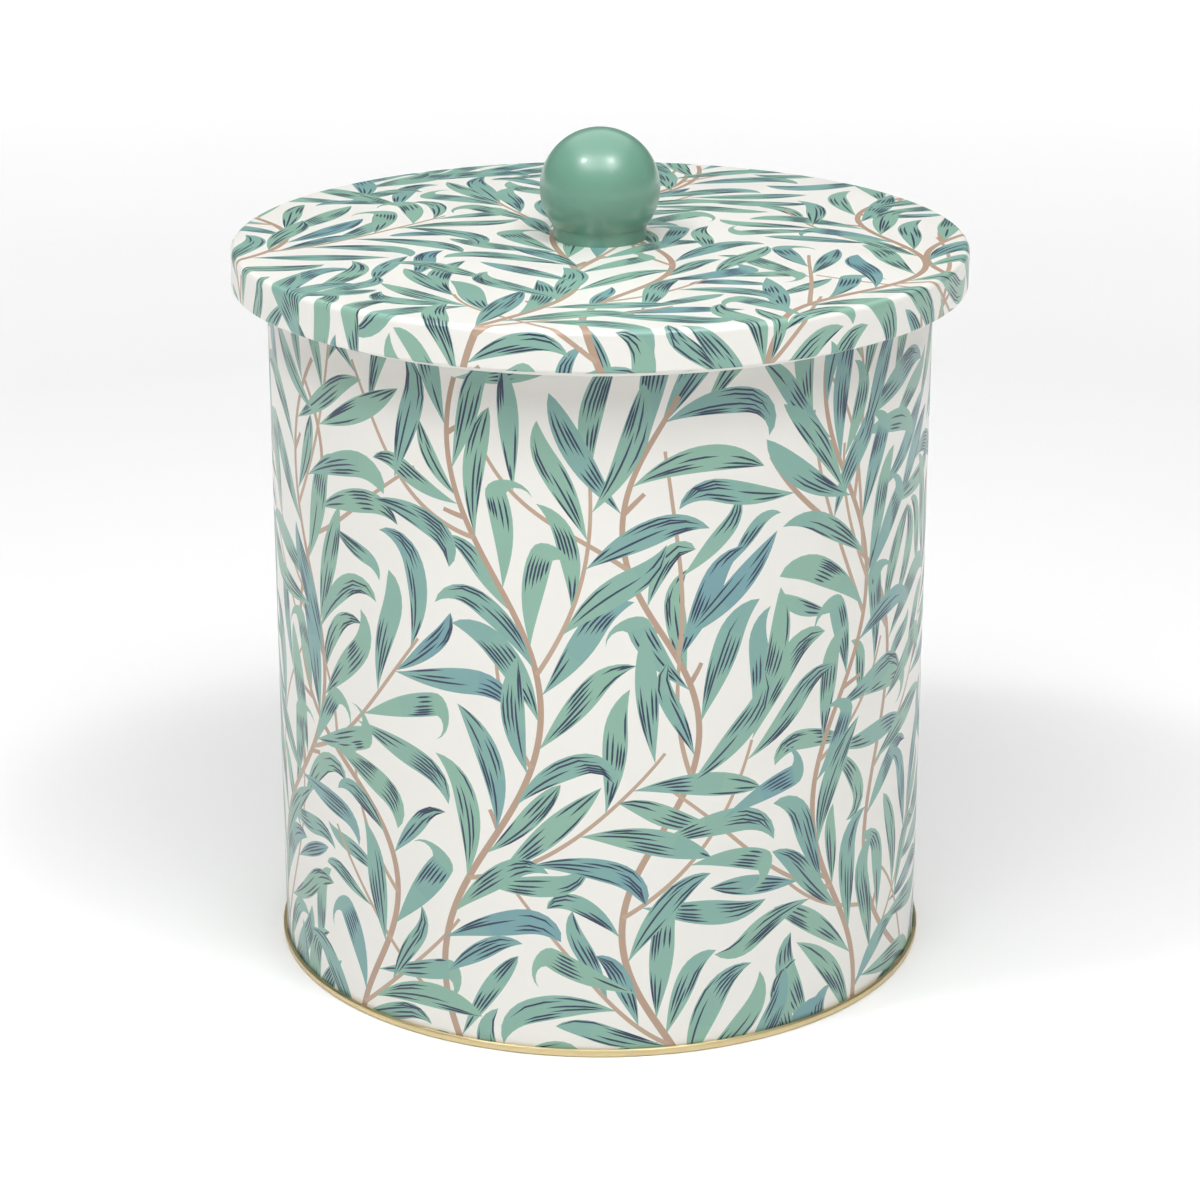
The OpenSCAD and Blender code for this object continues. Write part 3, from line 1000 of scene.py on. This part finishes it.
def inside_polygon(points, radius):
    """Whether points lie inside the ring of stations at that radius."""
    half_step = math.pi / SEGMENTS
    turn = np.arctan2(points[:, 1], points[:, 0]) % (2 * half_step) - half_step
    return np.hypot(points[:, 0], points[:, 1]) * np.cos(turn) < radius * math.cos(half_step)


def in_lid_print(points):
    """Whether points lie between the bare middle and the end of the print."""
    return inside_polygon(points, end_s - EDGE) & ~inside_polygon(points, BARE_R)


bends = [flat_r + CORNER * a for a in np.linspace(0, math.pi / 2, CORNER_STEPS + 1)]
bends += [foot_s + FOOT * a for a in np.linspace(0, math.pi / 2, FOOT_STEPS + 1)]
rings = [polygon(r) for r in bends + [HOLE_R]]
spokes = np.hstack([polygon(flat_r), polygon(end_s)])
lid_lines = np.vstack([closed_edges(r) for r in rings] + [spokes])
cuts = snapped(end_s * np.cos(np.radians(CUT_ANGLES)))
shapes = willow((-end_s, -end_s), (end_s, end_s), LID_TRUNKS, LID_SEED)
borders = [polygon(end_s - EDGE), polygon(BARE_R)]
points, triangles, ink = printed_sheet(shapes, borders, in_lid_print, lid_lines, cuts, cuts)
centres = points[triangles].mean(1)
kept = inside_polygon(centres, end_s) & ~inside_polygon(centres, HOLE_R)

cap = Skin()
placed, normals = on_lid(points)
cap.add(placed, normals, triangles[kept], ink[kept].tolist())
hole_rim, up = on_lid(polygon(HOLE_R))
print_end, out = on_lid(polygon(end_s))
lip_low, lip_high, hole_low = swept([(LIP_R, LID_Z), (LIP_R, LID_Z + SHEET), (HOLE_R, LID_TOP - SHEET)],
                                    lid_ring)
under = ([(HOLE_R, LID_TOP - SHEET)]
         + arc(flat_r, LID_TOP - CORNER, CORNER - SHEET, 90, 0, CORNER_STEPS)
         + arc(LID_R - FOOT, LID_Z + FOOT, FOOT - SHEET, 0, -90, FOOT_STEPS)
         + [(LIP_R, LID_Z + SHEET)])
under_normals = np.array([(0, 1)] + arc(0, 0, 1, 90, 0, CORNER_STEPS)
                         + arc(0, 0, 1, 0, -90, FOOT_STEPS) + [(0, -1)])
backwards = lid_ring[::-1]
to_axis = swept([(-1, 0), (-1, 0)], lid_ring)
cap.add_rows([print_end, lip_low], swept([(0, -1), (0, -1)], lid_ring), INK["ground"])
cap.add_rows([lip_low, lip_high], to_axis, INNER_SIDE)
cap.add_rows(swept(under, backwards), swept(-under_normals, backwards), INNER_SIDE)
cap.add_rows([hole_low, hole_rim], to_axis, INNER_SIDE)
lid = cap.build("printed_lid", ink_materials + [gold])
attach(lid, "lid")
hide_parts("lid_cap")


# -------- the other parts

looks = {
    "base_end": gold,
    "base_seam_compound": compound,
    "lid_plug": gold,
    "lid_seal": silicone,
    "knob": paint,
    "knob_insert": brass,
    "knob_screw": zinc,
    "screw_washer": zinc,
}
for node, material in looks.items():
    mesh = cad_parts[node].data
    mesh.materials.clear()
    mesh.materials.append(material)


# -------- studio

def lamp(name, place, aim, size, power):
    """A soft rectangular lamp that points at a place."""
    light = bpy.data.lights.new(name, "AREA")
    light.shape = "RECTANGLE"
    light.size, light.size_y = size
    light.energy = power
    lamp_object = bpy.data.objects.new(name, light)
    lamp_object.location = place
    lamp_object.rotation_euler = (Vector(aim) - Vector(place)).to_track_quat("-Z", "Y").to_euler()
    bpy.context.scene.collection.objects.link(lamp_object)
    return lamp_object


def glow_far_away(material, start, end, strength):
    """Makes a floor glow softly away from its middle, so that it stays pale up to the horizon."""
    nodes, links = material.node_tree.nodes, material.node_tree.links
    place = nodes.new("ShaderNodeTexCoord")
    distance = nodes.new("ShaderNodeVectorMath")
    distance.operation = "LENGTH"
    links.new(place.outputs["Object"], distance.inputs[0])
    rise = nodes.new("ShaderNodeMapRange")
    rise.inputs["From Min"].default_value = start
    rise.inputs["From Max"].default_value = end
    rise.inputs["To Min"].default_value = 0
    rise.inputs["To Max"].default_value = strength
    links.new(distance.outputs["Value"], rise.inputs["Value"])
    shader = nodes["Principled BSDF"]
    shader.inputs["Emission Color"].default_value = (1, 1, 1, 1)
    links.new(rise.outputs["Result"], shader.inputs["Emission Strength"])


BALL_R = 13.05 * MM
caddy_middle = Vector((0, 0, 0.09))
ball = Vector((0, 0, cad_high[2] - BALL_R))
lamp("top_light", (0, -0.1, 2.4), (0, 0, 0), (3.5, 3.5), 29)
lamp("front_light", caddy_middle + Vector((0, -1.22, 2.07)), caddy_middle, (2.6, 1.3), 30)
lamp("left_light", caddy_middle + Vector((-0.78, -0.86, 1.87)), caddy_middle, (0.9, 0.9), 4.5)
lamp("right_light", caddy_middle + Vector((0.78, -0.86, 1.87)), caddy_middle, (0.9, 0.9), 7)
lamp("back_light", (0, 1.65, 1.5), (0, 1.55, 0), (2.4, 1.2), 11)
lamp("left_spark", ball + Vector((-0.46, -0.30, 0.83)), ball, (0.13, 0.13), 2.3)
lamp("right_spark", ball + Vector((0.31, -0.38, 0.87)), ball, (0.13, 0.13), 1.4)

world = bpy.data.worlds.new("studio")
world.use_nodes = True
background = world.node_tree.nodes["Background"]
background.inputs["Color"].default_value = (1, 1, 1, 1)
background.inputs["Strength"].default_value = 0.05
bpy.context.scene.world = world

floor_material = surface("studio_floor", srgb(242, 242, 242), (0.7, 0.8), 6, 0.01)
glow_far_away(floor_material, 0.5, 2.5, 0.9)
REACH = 14              # from the middle of the floor to its sides, in metres
floor_corners = [(-REACH, -REACH, 0), (REACH, -REACH, 0), (REACH, REACH, 0), (-REACH, REACH, 0)]
floor_mesh = bpy.data.meshes.new("studio_floor")
floor_mesh.from_pydata(floor_corners, [], [(0, 1, 2, 3)])
floor_mesh.materials.append(floor_material)
floor = bpy.data.objects.new("studio_floor", floor_mesh)
bpy.context.scene.collection.objects.link(floor)

camera_data = bpy.data.cameras.new("camera")
camera_data.lens = 101.5
camera = bpy.data.objects.new("camera", camera_data)
camera.location = (0, -0.72, 0.33)
aim = Vector((0, 0, 0.0774))
camera.rotation_euler = (aim - camera.location).to_track_quat("-Z", "Y").to_euler()
bpy.context.scene.collection.objects.link(camera)
bpy.context.scene.camera = camera
bpy.context.scene.view_settings.view_transform = "Standard"
